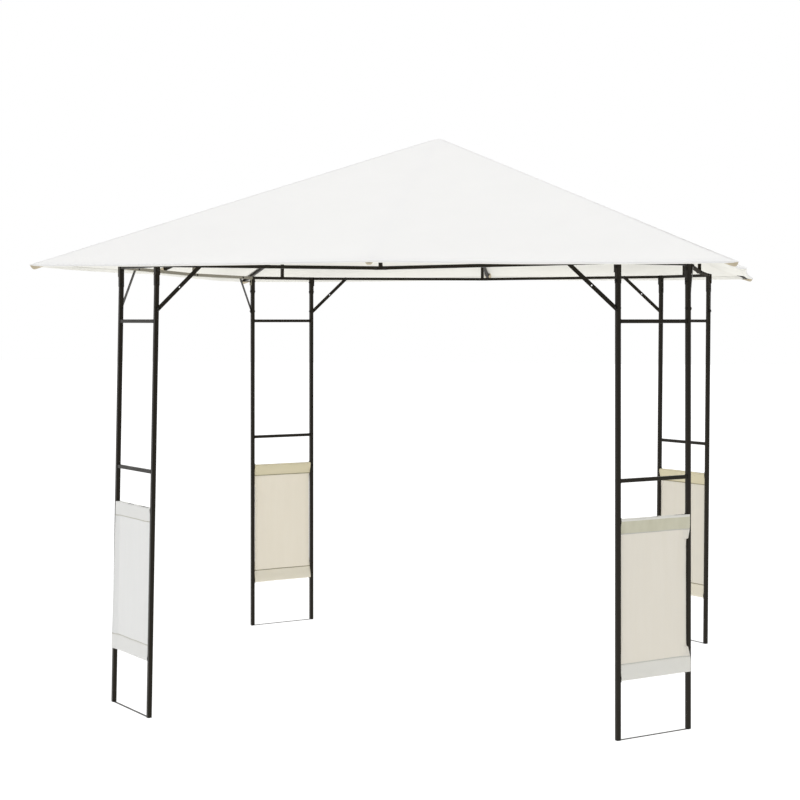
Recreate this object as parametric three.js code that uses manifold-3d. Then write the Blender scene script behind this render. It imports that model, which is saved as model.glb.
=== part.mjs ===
// A garden gazebo with a square pyramid canopy on a steel tube frame.
// Units are millimetres, +Z is up, +X is along the front to the right and +Y is towards the back.
// The origin is on the ground, in the middle of the plan. Four flat ladder legs stand across the
// corners at 45 degrees, a ring of tubes joins their tops, and eight rafters carry the cover.

import * as THREE from "three";
import { mergeVertices } from "three/addons/utils/BufferGeometryUtils.js";
import Module from "manifold-3d";

// ---- Overall sizes ----
const CANOPY_SIDE = 3000;      // along one eave of the cover
const APEX_HEIGHT = 2638;      // ground to the peak of the cover
const EAVE_HEIGHT = 1972;      // ground to the top of the cover at its four corners
const MID_EAVE_HEIGHT = 1980;  // the same in the middle of each edge, where a rafter lifts it
const FRAME_SIDE = 2552;       // between the centre lines of two facing side beams
const RING_HEIGHT = 1973;      // ground to the centre line of the ring of beams, at the legs

// ---- Legs ----
const LEG_WIDTH = 383;         // between the centre lines of a leg's two uprights
const UPRIGHT_TUBE = 19;       // square tube, outside
const UPRIGHT_CORNER = 2;      // radius along the tube's edges
const RUNG_TUBE = 16;
const TOP_RUNG_HEIGHT = 1729;
const LOW_RUNG_HEIGHT = 1070;
const TOP_ROD_HEIGHT = 905;    // rods that the fabric panel is stretched between
const LOW_ROD_HEIGHT = 251;
const ROD_TUBE = 13;
const FOOT_BAR_WIDTH = 10;
const FOOT_BAR_THICKNESS = 2;
const FRONT_LEFT_SPLAY = 36;   // this leg leans, and its foot stands this far out from the corner
const BACK_RIGHT_SPLAY = -22;  // this leg's foot stands in by as much

// ---- Ring ----
const BEAM_TUBE = 15;
const FRONT_BEAM_DIP = 18;     // the middle of the front beam hangs this far below its ends
const BEAM_DIP = 8;            // the same on the other three sides
const BEAM_TAB_HEIGHT = 50;    // flat tab on each beam end, bolted to the socket's face
const BEAM_TAB_THICKNESS = 2.5;
const SLEEVE_WALL = 1;         // square socket over the top of each upright
const SLEEVE_LENGTH = 96;
const SLEEVE_CAP = 2;
const CORNER_BAR_TUBE = 16;
const RISER_TUBE = 16;

// ---- Corner braces ----
const BRACE_REACH = 204;       // from the upright's centre line to the bolt on the beam
const BRACE_DROP = 184;        // from that bolt down to the fold beside the upright
const BRACE_WIDTH = 18;
const BRACE_THICKNESS = 2.5;
const BRACE_FOLD = 5;          // from the middle of the upright's face to the fold
const BRACE_WASHER = 1;        // between the strip and the beam
const BRACE_HOLE = 6;

// ---- Roof ----
const RAFTER_TUBE = 16;
const MID_SETBACK = 14;        // middle rafter's end to the edge of the cover, seen from above
const HIP_SETBACK = 20;        // hip rafter's end to both edges at a corner
const HUB_DIAMETER = 84;
const HUB_HEIGHT = 46;
const COVER_THICKNESS = 3;
const RAFTER_CLEARANCE = 1.5;  // below the cover to the nearest edges of a rafter's top

// ---- Fabric leg panels ----
const PANEL_SIDE_CLEARANCE = 1;
const PANEL_SLEEVE_THICKNESS = 21;
const PANEL_SLEEVE_LENGTH = 60;
const PANEL_WEB = 2;
const PANEL_ROD_CLEARANCE = 0.5;

const GAP = 0.3;               // between pieces that touch

// ---- What follows from them ----
const HALF_RING = FRAME_SIDE / 2;
const LEG_STEP = LEG_WIDTH / Math.SQRT2;
const HALF_BEAM = HALF_RING - LEG_STEP;
const LEG_CENTRE = HALF_RING - LEG_STEP / 2;
const HALF_CANOPY = CANOPY_SIDE / 2;
const SLOPE = (APEX_HEIGHT - MID_EAVE_HEIGHT) / HALF_CANOPY;
const HIP_SLOPE = (APEX_HEIGHT - EAVE_HEIGHT) / (HALF_CANOPY * Math.SQRT2);
const CROSS_SLOPE = HIP_SLOPE * Math.SQRT2 - SLOPE;
const SLEEVE_TOP = RING_HEIGHT + CORNER_BAR_TUBE / 2 + GAP;
const SLEEVE_BORE = UPRIGHT_TUBE + 2 * GAP;
const SLEEVE_TUBE = SLEEVE_BORE + 2 * SLEEVE_WALL;
const SLEEVE_MOUTH = SLEEVE_TOP - SLEEVE_LENGTH;
const MID_DROP = RAFTER_CLEARANCE + CROSS_SLOPE * RAFTER_TUBE / 2;
const HIP_DROP = RAFTER_CLEARANCE + (SLOPE - CROSS_SLOPE) * RAFTER_TUBE / 2 / Math.SQRT2;

const wasm = await Module();
wasm.setup();

// ---- Solids ----
function toSolid(geometry, matrix = new THREE.Matrix4()) {
  const bare = geometry.clone().applyMatrix4(matrix);
  bare.deleteAttribute("normal");
  bare.deleteAttribute("uv");
  const merged = mergeVertices(bare, 1e-4);
  return new wasm.Manifold(new wasm.Mesh({
    numProp: 3,
    vertProperties: new Float32Array(merged.attributes.position.array),
    triVerts: new Uint32Array(merged.index.array),
  }));
}

function toGeometry(solid) {
  const mesh = solid.getMesh();
  const geometry = new THREE.BufferGeometry();
  geometry.setAttribute("position", new THREE.BufferAttribute(new Float32Array(mesh.vertProperties), 3));
  geometry.setIndex(new THREE.BufferAttribute(new Uint32Array(mesh.triVerts), 1));
  return geometry;
}

function joined(solids) {
  return solids.reduce((whole, solid) => whole.add(solid));
}

// A block with sides x, y and z, centred on a point.
function block(x, y, z, centre = [0, 0, 0]) {
  const place = new THREE.Matrix4().makeTranslation(...centre);
  return toSolid(new THREE.BoxGeometry(x, y, z), place);
}

// A square with rounded corners, as the outline of a tube's section.
function tubeOutline(side, radius) {
  const half = side / 2;
  const flat = half - radius;
  const outline = new THREE.Shape();
  outline.absarc(flat, flat, radius, 0, Math.PI / 2);
  outline.absarc(-flat, flat, radius, Math.PI / 2, Math.PI);
  outline.absarc(-flat, -flat, radius, Math.PI, 1.5 * Math.PI);
  outline.absarc(flat, -flat, radius, 1.5 * Math.PI, 2 * Math.PI);
  outline.closePath();
  return outline;
}

// A vertical rounded square bar from one height to another.
function uprightBar(side, low, high, centre = [0, 0]) {
  const options = { depth: high - low, bevelEnabled: false, curveSegments: 2 };
  const geometry = new THREE.ExtrudeGeometry(tubeOutline(side, UPRIGHT_CORNER), options);
  return toSolid(geometry, new THREE.Matrix4().makeTranslation(centre[0], centre[1], low));
}

// A flat outline in the XZ plane, given a thickness in Y about the plane y = 0.
function plate(points, thickness) {
  const shape = new THREE.Shape(points.map(([x, z]) => new THREE.Vector2(x, z)));
  const geometry = new THREE.ExtrudeGeometry(shape, { depth: thickness, bevelEnabled: false });
  geometry.translate(0, 0, -thickness / 2);
  geometry.rotateX(Math.PI / 2);
  return toSolid(geometry);
}

// ---- Finishes ----
const frameFinish = new THREE.MeshStandardMaterial({ color: 0x24231f, roughness: 0.42, metalness: 0.0 });
const coverFinish = new THREE.MeshStandardMaterial({ color: 0xf2f1ec, roughness: 0.9, metalness: 0.0 });
const panelFinish = new THREE.MeshStandardMaterial({ color: 0xe6e1d2, roughness: 0.9, metalness: 0.0 });

const gazebo = new THREE.Group();

function addPiece(parent, name, solid, finish) {
  const mesh = new THREE.Mesh(toGeometry(solid), finish);
  mesh.name = name;
  parent.add(mesh);
}

// Corners go round from front left; each leg group has its +X along the leg and its -Y outwards.
const CORNERS = [
  { name: "front_left", turn: -Math.PI / 4, splay: FRONT_LEFT_SPLAY },
  { name: "front_right", turn: Math.PI / 4, splay: 0 },
  { name: "back_right", turn: 0.75 * Math.PI, splay: BACK_RIGHT_SPLAY },
  { name: "back_left", turn: -0.75 * Math.PI, splay: 0 },
];
// Sides go round from the front; each side group has its +X along the side and its -Y outwards.
const SIDES = [
  { name: "front", turn: 0, dip: FRONT_BEAM_DIP },
  { name: "right", turn: Math.PI / 2, dip: BEAM_DIP },
  { name: "back", turn: Math.PI, dip: BEAM_DIP },
  { name: "left", turn: -Math.PI / 2, dip: BEAM_DIP },
];
const CORNER_RADIUS = LEG_CENTRE * Math.SQRT2;

// A group turned about the upright axis through the middle of the plan.
function turnedGroup(turn) {
  const group = new THREE.Group();
  group.rotation.z = turn;
  gazebo.add(group);
  return group;
}

// Leans what hangs below a leg's two sockets, so that its foot stands out by splay.
function leaned(solid, splay) {
  const lean = new THREE.Matrix4().makeShear(0, 0, 0, 0, 0, splay / SLEEVE_MOUTH);
  lean.premultiply(new THREE.Matrix4().makeTranslation(0, -splay, 0));
  return solid.transform(lean.elements);
}

// ---- Leg: two uprights, two rungs, two rods and a foot bar, welded as one ladder ----
function legFrame(splay) {
  const y = -CORNER_RADIUS;
  const sides = [-LEG_WIDTH / 2, LEG_WIDTH / 2];
  const top = SLEEVE_TOP - SLEEVE_CAP - GAP;
  const inSockets = sides.map((x) => uprightBar(UPRIGHT_TUBE, SLEEVE_MOUTH, top, [x, y]));
  const uprights = sides.map((x) => uprightBar(UPRIGHT_TUBE, 0, SLEEVE_MOUTH, [x, y]));
  const rungs = [TOP_RUNG_HEIGHT, LOW_RUNG_HEIGHT].map(
    (z) => block(LEG_WIDTH, RUNG_TUBE, RUNG_TUBE, [0, y, z]));
  const rods = [TOP_ROD_HEIGHT, LOW_ROD_HEIGHT].map(
    (z) => block(LEG_WIDTH, ROD_TUBE, ROD_TUBE, [0, y, z]));
  const foot = block(LEG_WIDTH, FOOT_BAR_WIDTH, FOOT_BAR_THICKNESS, [0, y, FOOT_BAR_THICKNESS / 2]);
  return joined([leaned(joined([...uprights, ...rungs, ...rods, foot]), splay), ...inSockets]);
}

// ---- Fabric panel: a web with a sleeve round each rod ----
function legPanel(splay) {
  const width = LEG_WIDTH - UPRIGHT_TUBE - 2 * PANEL_SIDE_CLEARANCE;
  const wrap = PANEL_SLEEVE_THICKNESS / 2;
  const web = PANEL_WEB / 2;
  const reach = ROD_TUBE / 2 + PANEL_ROD_CLEARANCE + 1.5;
  const top = TOP_ROD_HEIGHT + reach;
  const low = LOW_ROD_HEIGHT - reach;
  const profile = [
    [-wrap + 2, top], [-wrap, top - 2], [-wrap, top - 2 * reach], [-web, top - PANEL_SLEEVE_LENGTH],
    [-web, low + PANEL_SLEEVE_LENGTH], [-wrap, low + 2 * reach], [-wrap, low + 2], [-wrap + 2, low],
    [wrap - 2, low], [wrap, low + 2], [wrap, low + 2 * reach], [web, low + PANEL_SLEEVE_LENGTH],
    [web, top - PANEL_SLEEVE_LENGTH], [wrap, top - 2 * reach], [wrap, top - 2], [wrap - 2, top],
  ];
  const bore = ROD_TUBE + 2 * PANEL_ROD_CLEARANCE;
  const sheet = plate(profile, width).rotate([0, 0, 90]);
  const rods = [TOP_ROD_HEIGHT, LOW_ROD_HEIGHT].map((z) => block(width + 20, bore, bore, [0, 0, z]));
  const panel = rods.reduce((solid, rod) => solid.subtract(rod), sheet);
  return leaned(panel.translate([0, -CORNER_RADIUS, 0]), splay);
}

// ---- Hip rafter, from the hub to a corner of the cover, along -Y of its corner group ----
function rafterSolid(length, slope, drop, grow = 0) {
  const start = HUB_DIAMETER / 2 + GAP;
  const upright = RAFTER_TUBE * Math.hypot(1, slope);
  const topAt = (distance) => APEX_HEIGHT - COVER_THICKNESS - drop - slope * distance;
  const outline = [
    [start, topAt(start) + grow], [length, topAt(length) + grow],
    [length, topAt(length) - upright - grow], [start, topAt(start) - upright - grow],
  ];
  return plate(outline, RAFTER_TUBE + 2 * grow).rotate([0, 0, -90]);
}

const HIP_LENGTH = (HALF_CANOPY - HIP_SETBACK) * Math.SQRT2;
const MID_LENGTH = HALF_CANOPY - MID_SETBACK;

// ---- Corner connector: a bar between two sockets, with a riser in the middle ----
function cornerConnector() {
  const y = -CORNER_RADIUS;
  const half = LEG_WIDTH / 2;
  const sockets = [-half, half].map((x) => {
    const shell = uprightBar(SLEEVE_TUBE, SLEEVE_MOUTH, SLEEVE_TOP, [x, y]);
    return shell.subtract(uprightBar(SLEEVE_BORE, SLEEVE_MOUTH - 1, SLEEVE_TOP - SLEEVE_CAP, [x, y]));
  });
  const clear = LEG_WIDTH - SLEEVE_TUBE + SLEEVE_WALL;
  const bar = block(clear, CORNER_BAR_TUBE, CORNER_BAR_TUBE, [0, y, RING_HEIGHT]);
  const riserTop = APEX_HEIGHT - COVER_THICKNESS - HIP_DROP - HIP_SLOPE * CORNER_RADIUS
    - RAFTER_TUBE / 2;
  const riser = uprightBar(RISER_TUBE, RING_HEIGHT, riserTop, [0, y]);
  const rafterRoom = rafterSolid(HIP_LENGTH, HIP_SLOPE, HIP_DROP, GAP);
  return joined([...sockets, bar, riser.subtract(rafterRoom)]);
}

// ---- Side beam: two tubes between two sockets. They meet at a riser in the middle, where they dip
// a little, and each outer end carries a flat tab against the face of its socket ----
function sideBeam(dip) {
  const half = BEAM_TUBE / 2;
  const tubes = plate([
    [-HALF_BEAM, RING_HEIGHT - half], [0, RING_HEIGHT - dip - half], [HALF_BEAM, RING_HEIGHT - half],
    [HALF_BEAM, RING_HEIGHT + half], [0, RING_HEIGHT - dip + half], [-HALF_BEAM, RING_HEIGHT + half],
  ], BEAM_TUBE).translate([0, -HALF_RING, 0]);
  const riserLow = RING_HEIGHT - dip;
  const riserTop = APEX_HEIGHT - COVER_THICKNESS - MID_DROP - SLOPE * HALF_RING - RAFTER_TUBE / 2;
  const riser = block(RISER_TUBE, RISER_TUBE, riserTop - riserLow,
    [0, -HALF_RING, (riserTop + riserLow) / 2]);
  const rafterRoom = rafterSolid(MID_LENGTH, SLOPE, MID_DROP, GAP);
  const socketRoom = SLEEVE_TUBE + 2 * GAP;
  const tabMiddle = socketRoom / 2 + BEAM_TAB_THICKNESS / 2;
  const tabHeight = RING_HEIGHT + half - BEAM_TAB_HEIGHT / 2;
  let beam = tubes.add(riser.subtract(rafterRoom));
  for (const hand of [-1, 1]) {
    const room = block(socketRoom, socketRoom, 4 * BEAM_TUBE, [0, 0, RING_HEIGHT]);
    const tab = block(BEAM_TAB_THICKNESS, SLEEVE_TUBE, BEAM_TAB_HEIGHT,
      [-hand * tabMiddle, 0, tabHeight]);
    const socketPlace = [hand * HALF_BEAM, -HALF_RING, 0];
    const atSocket = (solid) => solid.rotate([0, 0, hand * 45]).translate(socketPlace);
    beam = beam.subtract(atSocket(room)).add(atSocket(tab));
  }
  return beam;
}

// ---- Corner brace: a flat strip from a bolt through the beam down to the upright. It lies against
// the outside of the beam, and its lower end is folded to lie on the upright's face ----
function cornerBrace(hand, dip) {
  const boltHeight = RING_HEIGHT - dip * BRACE_REACH / HALF_BEAM;
  const tabMiddle = UPRIGHT_TUBE / 2 + GAP + BRACE_THICKNESS / 2;
  const foldX = (tabMiddle + BRACE_FOLD) / Math.SQRT2;
  const foldY = (BRACE_FOLD - tabMiddle) / Math.SQRT2;
  const boltY = -(BEAM_TUBE / 2 + BRACE_WASHER + GAP + BRACE_THICKNESS / 2);
  const run = Math.hypot(BRACE_REACH - foldX, boltY - foldY);
  const turn = THREE.MathUtils.radToDeg(Math.atan2(boltY - foldY, BRACE_REACH - foldX));
  const slope = BRACE_DROP / run;
  const length = Math.hypot(run, BRACE_DROP);
  const halfWidth = BRACE_WIDTH / 2;
  const rise = halfWidth * length / run;
  const along = [run / length * halfWidth, BRACE_DROP / length * halfWidth];
  const across = [-along[1], along[0]];
  const lowHeight = boltHeight - BRACE_DROP;
  const strip = plate([
    [0, lowHeight - rise],
    [run + along[0] - across[0], boltHeight + along[1] - across[1]],
    [run + along[0] + across[0], boltHeight + along[1] + across[1]],
    [0, lowHeight + rise],
  ], BRACE_THICKNESS);
  const drill = new THREE.CylinderGeometry(BRACE_HOLE / 2, BRACE_HOLE / 2, 4 * BRACE_THICKNESS, 12);
  const middle = new THREE.Matrix4().makeTranslation(run / 2, 0, boltHeight - BRACE_DROP / 2);
  const hole = toSolid(drill, middle);
  const tabLength = BRACE_FOLD + UPRIGHT_TUBE / 2;
  const tab = plate([
    [0, lowHeight - rise], [0, lowHeight + rise],
    [-tabLength, lowHeight + rise - slope * tabLength],
    [-tabLength, lowHeight - rise - slope * tabLength],
  ], BRACE_THICKNESS).rotate([0, 0, 45]);
  const brace = strip.subtract(hole).rotate([0, 0, turn]).add(tab)
    .translate([foldX - HALF_BEAM, foldY - HALF_RING, 0]);
  return hand > 0 ? brace.mirror([1, 0, 0]) : brace;
}

// ---- Crown hub: the round boss at the peak that the rafters are fixed to ----
function crownHub() {
  const top = APEX_HEIGHT - COVER_THICKNESS - HIP_DROP - SLOPE * HUB_DIAMETER / 2;
  const boss = new THREE.CylinderGeometry(HUB_DIAMETER / 2, HUB_DIAMETER / 2, HUB_HEIGHT, 24);
  const place = new THREE.Matrix4().makeTranslation(0, 0, top - HUB_HEIGHT / 2);
  return toSolid(boss, place.multiply(new THREE.Matrix4().makeRotationX(Math.PI / 2)));
}

// ---- Cover: four panels that meet along the hips, each a little raised along its middle ----
function coverPanel() {
  const topAt = (x, y) => APEX_HEIGHT - SLOPE * Math.abs(y) - CROSS_SLOPE * Math.abs(x);
  const hipHalf = GAP / 2 * Math.SQRT2;
  const halves = [-1, 1].map((hand) => {
    const tip = hand * (HALF_CANOPY - hipHalf);
    const corners = [[0, -hipHalf], [0, -HALF_CANOPY], [tip, -HALF_CANOPY]];
    const top = corners.map(([x, y]) => [x, y, topAt(x, y)]);
    const underside = top.map(([x, y, z]) => [x, y, z - COVER_THICKNESS]);
    return wasm.Manifold.hull([...top, ...underside]);
  });
  return joined(halves);
}

for (const { name, turn, splay } of CORNERS) {
  const corner = turnedGroup(turn);
  addPiece(corner, `leg_frame_${name}`, legFrame(splay), frameFinish);
  addPiece(corner, `leg_panel_${name}`, legPanel(splay), panelFinish);
  addPiece(corner, `corner_connector_${name}`, cornerConnector(), frameFinish);
  addPiece(corner, `hip_rafter_${name}`, rafterSolid(HIP_LENGTH, HIP_SLOPE, HIP_DROP), frameFinish);
}

for (const { name, turn, dip } of SIDES) {
  const side = turnedGroup(turn);
  addPiece(side, `side_beam_${name}`, sideBeam(dip), frameFinish);
  addPiece(side, `brace_${name}_left`, cornerBrace(-1, dip), frameFinish);
  addPiece(side, `brace_${name}_right`, cornerBrace(1, dip), frameFinish);
  addPiece(side, `mid_rafter_${name}`, rafterSolid(MID_LENGTH, SLOPE, MID_DROP), frameFinish);
  addPiece(side, `canopy_panel_${name}`, coverPanel(), coverFinish);
}
addPiece(gazebo, "crown_hub", crownHub(), frameFinish);

export default gazebo;
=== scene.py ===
# A garden gazebo, 3 m by 3 m: a pyramid cover of polyester cloth on a frame of powder-coated steel
# tube, standing on four ladder legs set across its corners. Metres, +Z up, +X along the front to the
# right, +Y towards the back, with the origin on the ground in the middle of the plan.
import math

import bmesh
import bpy
from mathutils import Matrix, Vector, noise


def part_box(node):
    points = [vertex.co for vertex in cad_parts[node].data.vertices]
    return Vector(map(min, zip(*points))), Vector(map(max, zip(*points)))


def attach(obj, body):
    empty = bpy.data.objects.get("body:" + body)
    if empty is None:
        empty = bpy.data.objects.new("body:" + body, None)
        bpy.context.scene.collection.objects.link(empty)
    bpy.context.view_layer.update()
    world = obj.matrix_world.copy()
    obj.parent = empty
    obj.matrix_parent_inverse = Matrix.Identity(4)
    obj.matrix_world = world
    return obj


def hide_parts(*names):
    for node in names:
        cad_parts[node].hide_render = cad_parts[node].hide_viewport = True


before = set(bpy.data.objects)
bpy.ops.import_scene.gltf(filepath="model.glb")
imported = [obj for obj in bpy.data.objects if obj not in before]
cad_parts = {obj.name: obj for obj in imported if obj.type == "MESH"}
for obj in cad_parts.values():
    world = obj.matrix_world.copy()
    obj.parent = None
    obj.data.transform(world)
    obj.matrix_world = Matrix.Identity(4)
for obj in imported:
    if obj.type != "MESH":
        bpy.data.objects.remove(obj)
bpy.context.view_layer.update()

# ---- Leg ladders ---------------------------------------------------------------------------------
# Each leg is a flat ladder of 19 mm square steel tube that stands across a corner at 45 degrees. Two
# 16 mm rungs and a thin foot bar are welded between the uprights, then the whole is powder-coated. Two
# legs lean a little: the front left foot stands out from its corner, and the back right foot stands in.
UPRIGHT_TUBE = 0.019
UPRIGHT_CORNER = 0.0024
LEG_WIDTH = 0.383
RUNG_TUBE = 0.016
RUNG_CORNER = 0.0018
RUNG_HEIGHTS = (1.729, 1.070)
FOOT_BAR_WIDTH = 0.010
FOOT_BAR_THICKNESS = 0.002
PLUG_HEIGHT = 0.004
WELD_SIZE = 0.0016
CUT_EDGE = 0.0003
SHARP_ANGLE = math.radians(50)
CORNERS = {"front_left": -45, "front_right": 45, "back_right": 135, "back_left": -135}
SPLAYS = {"front_left": 0.036, "front_right": 0.0, "back_right": -0.022, "back_left": 0.0}

connector_low, connector_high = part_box("corner_connector_front_right")
SOCKET_MOUTH = connector_low.z
LEG_CENTRE = (connector_low.x + connector_high.x) / 2
CORNER_RADIUS = LEG_CENTRE * math.sqrt(2)
UPRIGHT_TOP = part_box("leg_frame_front_right")[1].z


def linear(hex_colour):
    """The linear RGBA of an sRGB hex colour."""
    shares = [int(hex_colour[i:i + 2], 16) / 255 for i in (1, 3, 5)]
    return (*[c / 12.92 if c <= 0.04045 else ((c + 0.055) / 1.055) ** 2.4 for c in shares], 1)


def add_node(material, kind, inputs=(), **settings):
    """Adds a node with its settings, and fills its inputs with values or other nodes' outputs."""
    tree = material.node_tree
    made = tree.nodes.new(kind)
    for name, value in settings.items():
        setattr(made, name, value)
    for name, value in dict(inputs).items():
        if isinstance(value, bpy.types.NodeSocket):
            tree.links.new(value, made.inputs[name])
        else:
            made.inputs[name].default_value = value
    return made


def new_material(name):
    """An empty material, and its output node."""
    material = bpy.data.materials.new(name)
    material.use_nodes = True
    material.node_tree.nodes.clear()
    return material, material.node_tree.nodes.new("ShaderNodeOutputMaterial")


# Polyester powder coat, baked on after welding: a deep satin near-black skin. Faces seen squarely
# stay black and faces seen at a low angle turn grey, with a faint orange peel and uneven gloss.
PEEL_SIZE = 0.003      # real orange peel is about 1 mm, drawn coarser so that it shows
GLOSS_PATCH = 0.09
GLOSS_SPREAD = 0.06


def baked_coat(name, light, dark, roughness, specular):
    """Baked powder coat between two close tones, with a gloss that changes a little from place to place."""
    material, output = new_material(name)
    place = add_node(material, "ShaderNodeTexCoord")
    patches = add_node(material, "ShaderNodeTexNoise", {
        "Vector": place.outputs["Object"], "Scale": 1 / GLOSS_PATCH, "Detail": 3.0})
    gloss = add_node(material, "ShaderNodeMapRange", {
        "Value": patches.outputs["Fac"], "From Min": 0.3, "From Max": 0.7,
        "To Min": roughness - GLOSS_SPREAD, "To Max": roughness + GLOSS_SPREAD})
    tone = add_node(material, "ShaderNodeMix", {
        "Factor": patches.outputs["Fac"], "A": linear(dark), "B": linear(light)}, data_type="RGBA")
    peel = add_node(material, "ShaderNodeTexNoise", {
        "Vector": place.outputs["Object"], "Scale": 1 / PEEL_SIZE, "Detail": 1.0})
    relief = add_node(material, "ShaderNodeBump", {
        "Height": peel.outputs["Fac"], "Strength": 0.08, "Distance": 0.0002})
    skin = add_node(material, "ShaderNodeBsdfPrincipled", {
        "Base Color": tone.outputs["Result"], "Roughness": gloss.outputs["Result"],
        "Specular IOR Level": specular, "Specular Tint": linear("#fff2dc"),
        "Normal": relief.outputs["Normal"]})
    material.node_tree.links.new(skin.outputs["BSDF"], output.inputs["Surface"])
    return material


powder_coat = baked_coat("satin_powder_coat", "#13110d", "#0a0906", 0.34, 0.24)


def round_edges(piece, edges, width, segments):
    """Rounds the edges of a piece, or only breaks them where it has one segment."""
    bmesh.ops.bevel(piece, geom=edges, offset=width, segments=segments, profile=0.5,
                    affect="EDGES", material=-1)


def square_bar(length, width, depth, corner):
    """A rounded square bar standing on the origin along +Z, with its cut ends just broken."""
    bar = bmesh.new()
    size = Matrix.Diagonal((width, depth, length, 1))
    bmesh.ops.create_cube(bar, size=1, matrix=Matrix.Translation((0, 0, length / 2)) @ size)
    long_edges = [e for e in bar.edges if abs(e.verts[0].co.z - e.verts[1].co.z) > length / 2]
    round_edges(bar, long_edges, corner, 3)
    rims = [e for e in bar.edges if abs(e.verts[0].co.z - e.verts[1].co.z) < length / 2]
    round_edges(bar, rims, CUT_EDGE, 1)
    return bar


def add_part(piece, part, place=Matrix()):
    """Puts a part in its place in the piece that it belongs to."""
    part.transform(place)
    mesh = bpy.data.meshes.new("part")
    part.to_mesh(mesh)
    part.free()
    piece.from_mesh(mesh)
    bpy.data.meshes.remove(mesh)


def towards(start, end):
    """The place of a part that stands on start and points along +Z at end."""
    start, end = Vector(start), Vector(end)
    return Matrix.Translation(start) @ (end - start).to_track_quat("Z", "Y").to_matrix().to_4x4()


def add_bar(piece, start, end, width, depth, corner):
    """Adds a rounded bar that runs from start to end."""
    length = (Vector(end) - Vector(start)).length
    add_part(piece, square_bar(length, width, depth, corner), towards(start, end))


def turned(degrees):
    """The turn about the upright line through the middle of the plan."""
    return Matrix.Rotation(math.radians(degrees), 4, "Z")


def made_object(name, piece, place, finish, sharp=SHARP_ANGLE):
    """Makes the finished piece an object, turned to its place. Edges past the sharp angle stay crisp."""
    piece.transform(place)
    for face in piece.faces:
        face.smooth = True
    for edge in piece.edges:
        edge.smooth = edge.calc_face_angle(math.pi) < sharp
    mesh = bpy.data.meshes.new(name)
    piece.to_mesh(mesh)
    piece.free()
    mesh.materials.append(finish)
    made = bpy.data.objects.new(name, mesh)
    bpy.context.scene.collection.objects.link(made)
    return made


def sliced(piece, point, facing, clear_behind=False):
    """Cuts the faces of a piece along a plane, and can take away what lies behind it."""
    return bmesh.ops.bisect_plane(piece, geom=piece.verts[:] + piece.edges[:] + piece.faces[:],
                                  plane_co=point, plane_no=facing, clear_inner=clear_behind)


def lean(piece, splay):
    """Leans what hangs below a leg's two sockets, so that its foot stands out by splay."""
    sliced(piece, (0, 0, SOCKET_MOUTH), (0, 0, 1))
    for vert in piece.verts:
        vert.co.y -= splay * max(0.0, 1 - vert.co.z / SOCKET_MOUTH)


def add_weld(piece, at, towards_point, side):
    """Adds the weld bead where a bar of that side meets the tube it is welded to."""
    bead = side + 2 * WELD_SIZE
    part = square_bar(WELD_SIZE, bead, bead, RUNG_CORNER + WELD_SIZE)
    add_part(piece, part, towards(at, towards_point))


inner_face = LEG_WIDTH / 2 - UPRIGHT_TUBE / 2
for corner, degrees in CORNERS.items():
    ladder = bmesh.new()
    for x in (-LEG_WIDTH / 2, LEG_WIDTH / 2):
        foot = (x, -CORNER_RADIUS, PLUG_HEIGHT)
        add_bar(ladder, foot, (x, -CORNER_RADIUS, UPRIGHT_TOP), UPRIGHT_TUBE, UPRIGHT_TUBE, UPRIGHT_CORNER)
    for z in RUNG_HEIGHTS:
        left, right = (-inner_face, -CORNER_RADIUS, z), (inner_face, -CORNER_RADIUS, z)
        add_bar(ladder, left, right, RUNG_TUBE, RUNG_TUBE, RUNG_CORNER)
        add_weld(ladder, left, right, RUNG_TUBE)
        add_weld(ladder, right, left, RUNG_TUBE)
    bar_z = FOOT_BAR_THICKNESS / 2
    add_bar(ladder, (-inner_face, -CORNER_RADIUS, bar_z), (inner_face, -CORNER_RADIUS, bar_z),
            FOOT_BAR_WIDTH, FOOT_BAR_THICKNESS, CUT_EDGE)
    lean(ladder, SPLAYS[corner])
    leg = made_object(f"leg_ladder_{corner}", ladder, turned(degrees), powder_coat)
    leg.modifiers.new("even_shading", "WEIGHTED_NORMAL").keep_sharp = True
    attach(leg, "root")
    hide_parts(f"leg_frame_{corner}")

# ---- Foot plugs ----------------------------------------------------------------------------------
# A black polyethylene plug is pressed into the foot of each upright. Its flange, the same outline as
# the tube, is what stands on the ground, and its lower edge is rounded.
PLUG_CORNER = 0.003
PLUG_EDGE = 0.0012

# Moulded polyethylene: dull, with a fine grain between black and a very dark grey.
MOULD_GRAIN = 0.002
plug_plastic, output = new_material("moulded_black_polyethylene")
place = add_node(plug_plastic, "ShaderNodeTexCoord")
grain = add_node(plug_plastic, "ShaderNodeTexNoise", {
    "Vector": place.outputs["Object"], "Scale": 1 / MOULD_GRAIN, "Detail": 2.0})
tone = add_node(plug_plastic, "ShaderNodeMix", {
    "Factor": grain.outputs["Fac"], "A": linear("#171716"), "B": linear("#2b2a28")}, data_type="RGBA")
relief = add_node(plug_plastic, "ShaderNodeBump", {
    "Height": grain.outputs["Fac"], "Strength": 0.3, "Distance": 0.0002})
skin = add_node(plug_plastic, "ShaderNodeBsdfPrincipled", {
    "Base Color": tone.outputs["Result"], "Roughness": 0.62, "Specular IOR Level": 0.3,
    "Normal": relief.outputs["Normal"]})
plug_plastic.node_tree.links.new(skin.outputs["BSDF"], output.inputs["Surface"])

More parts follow.
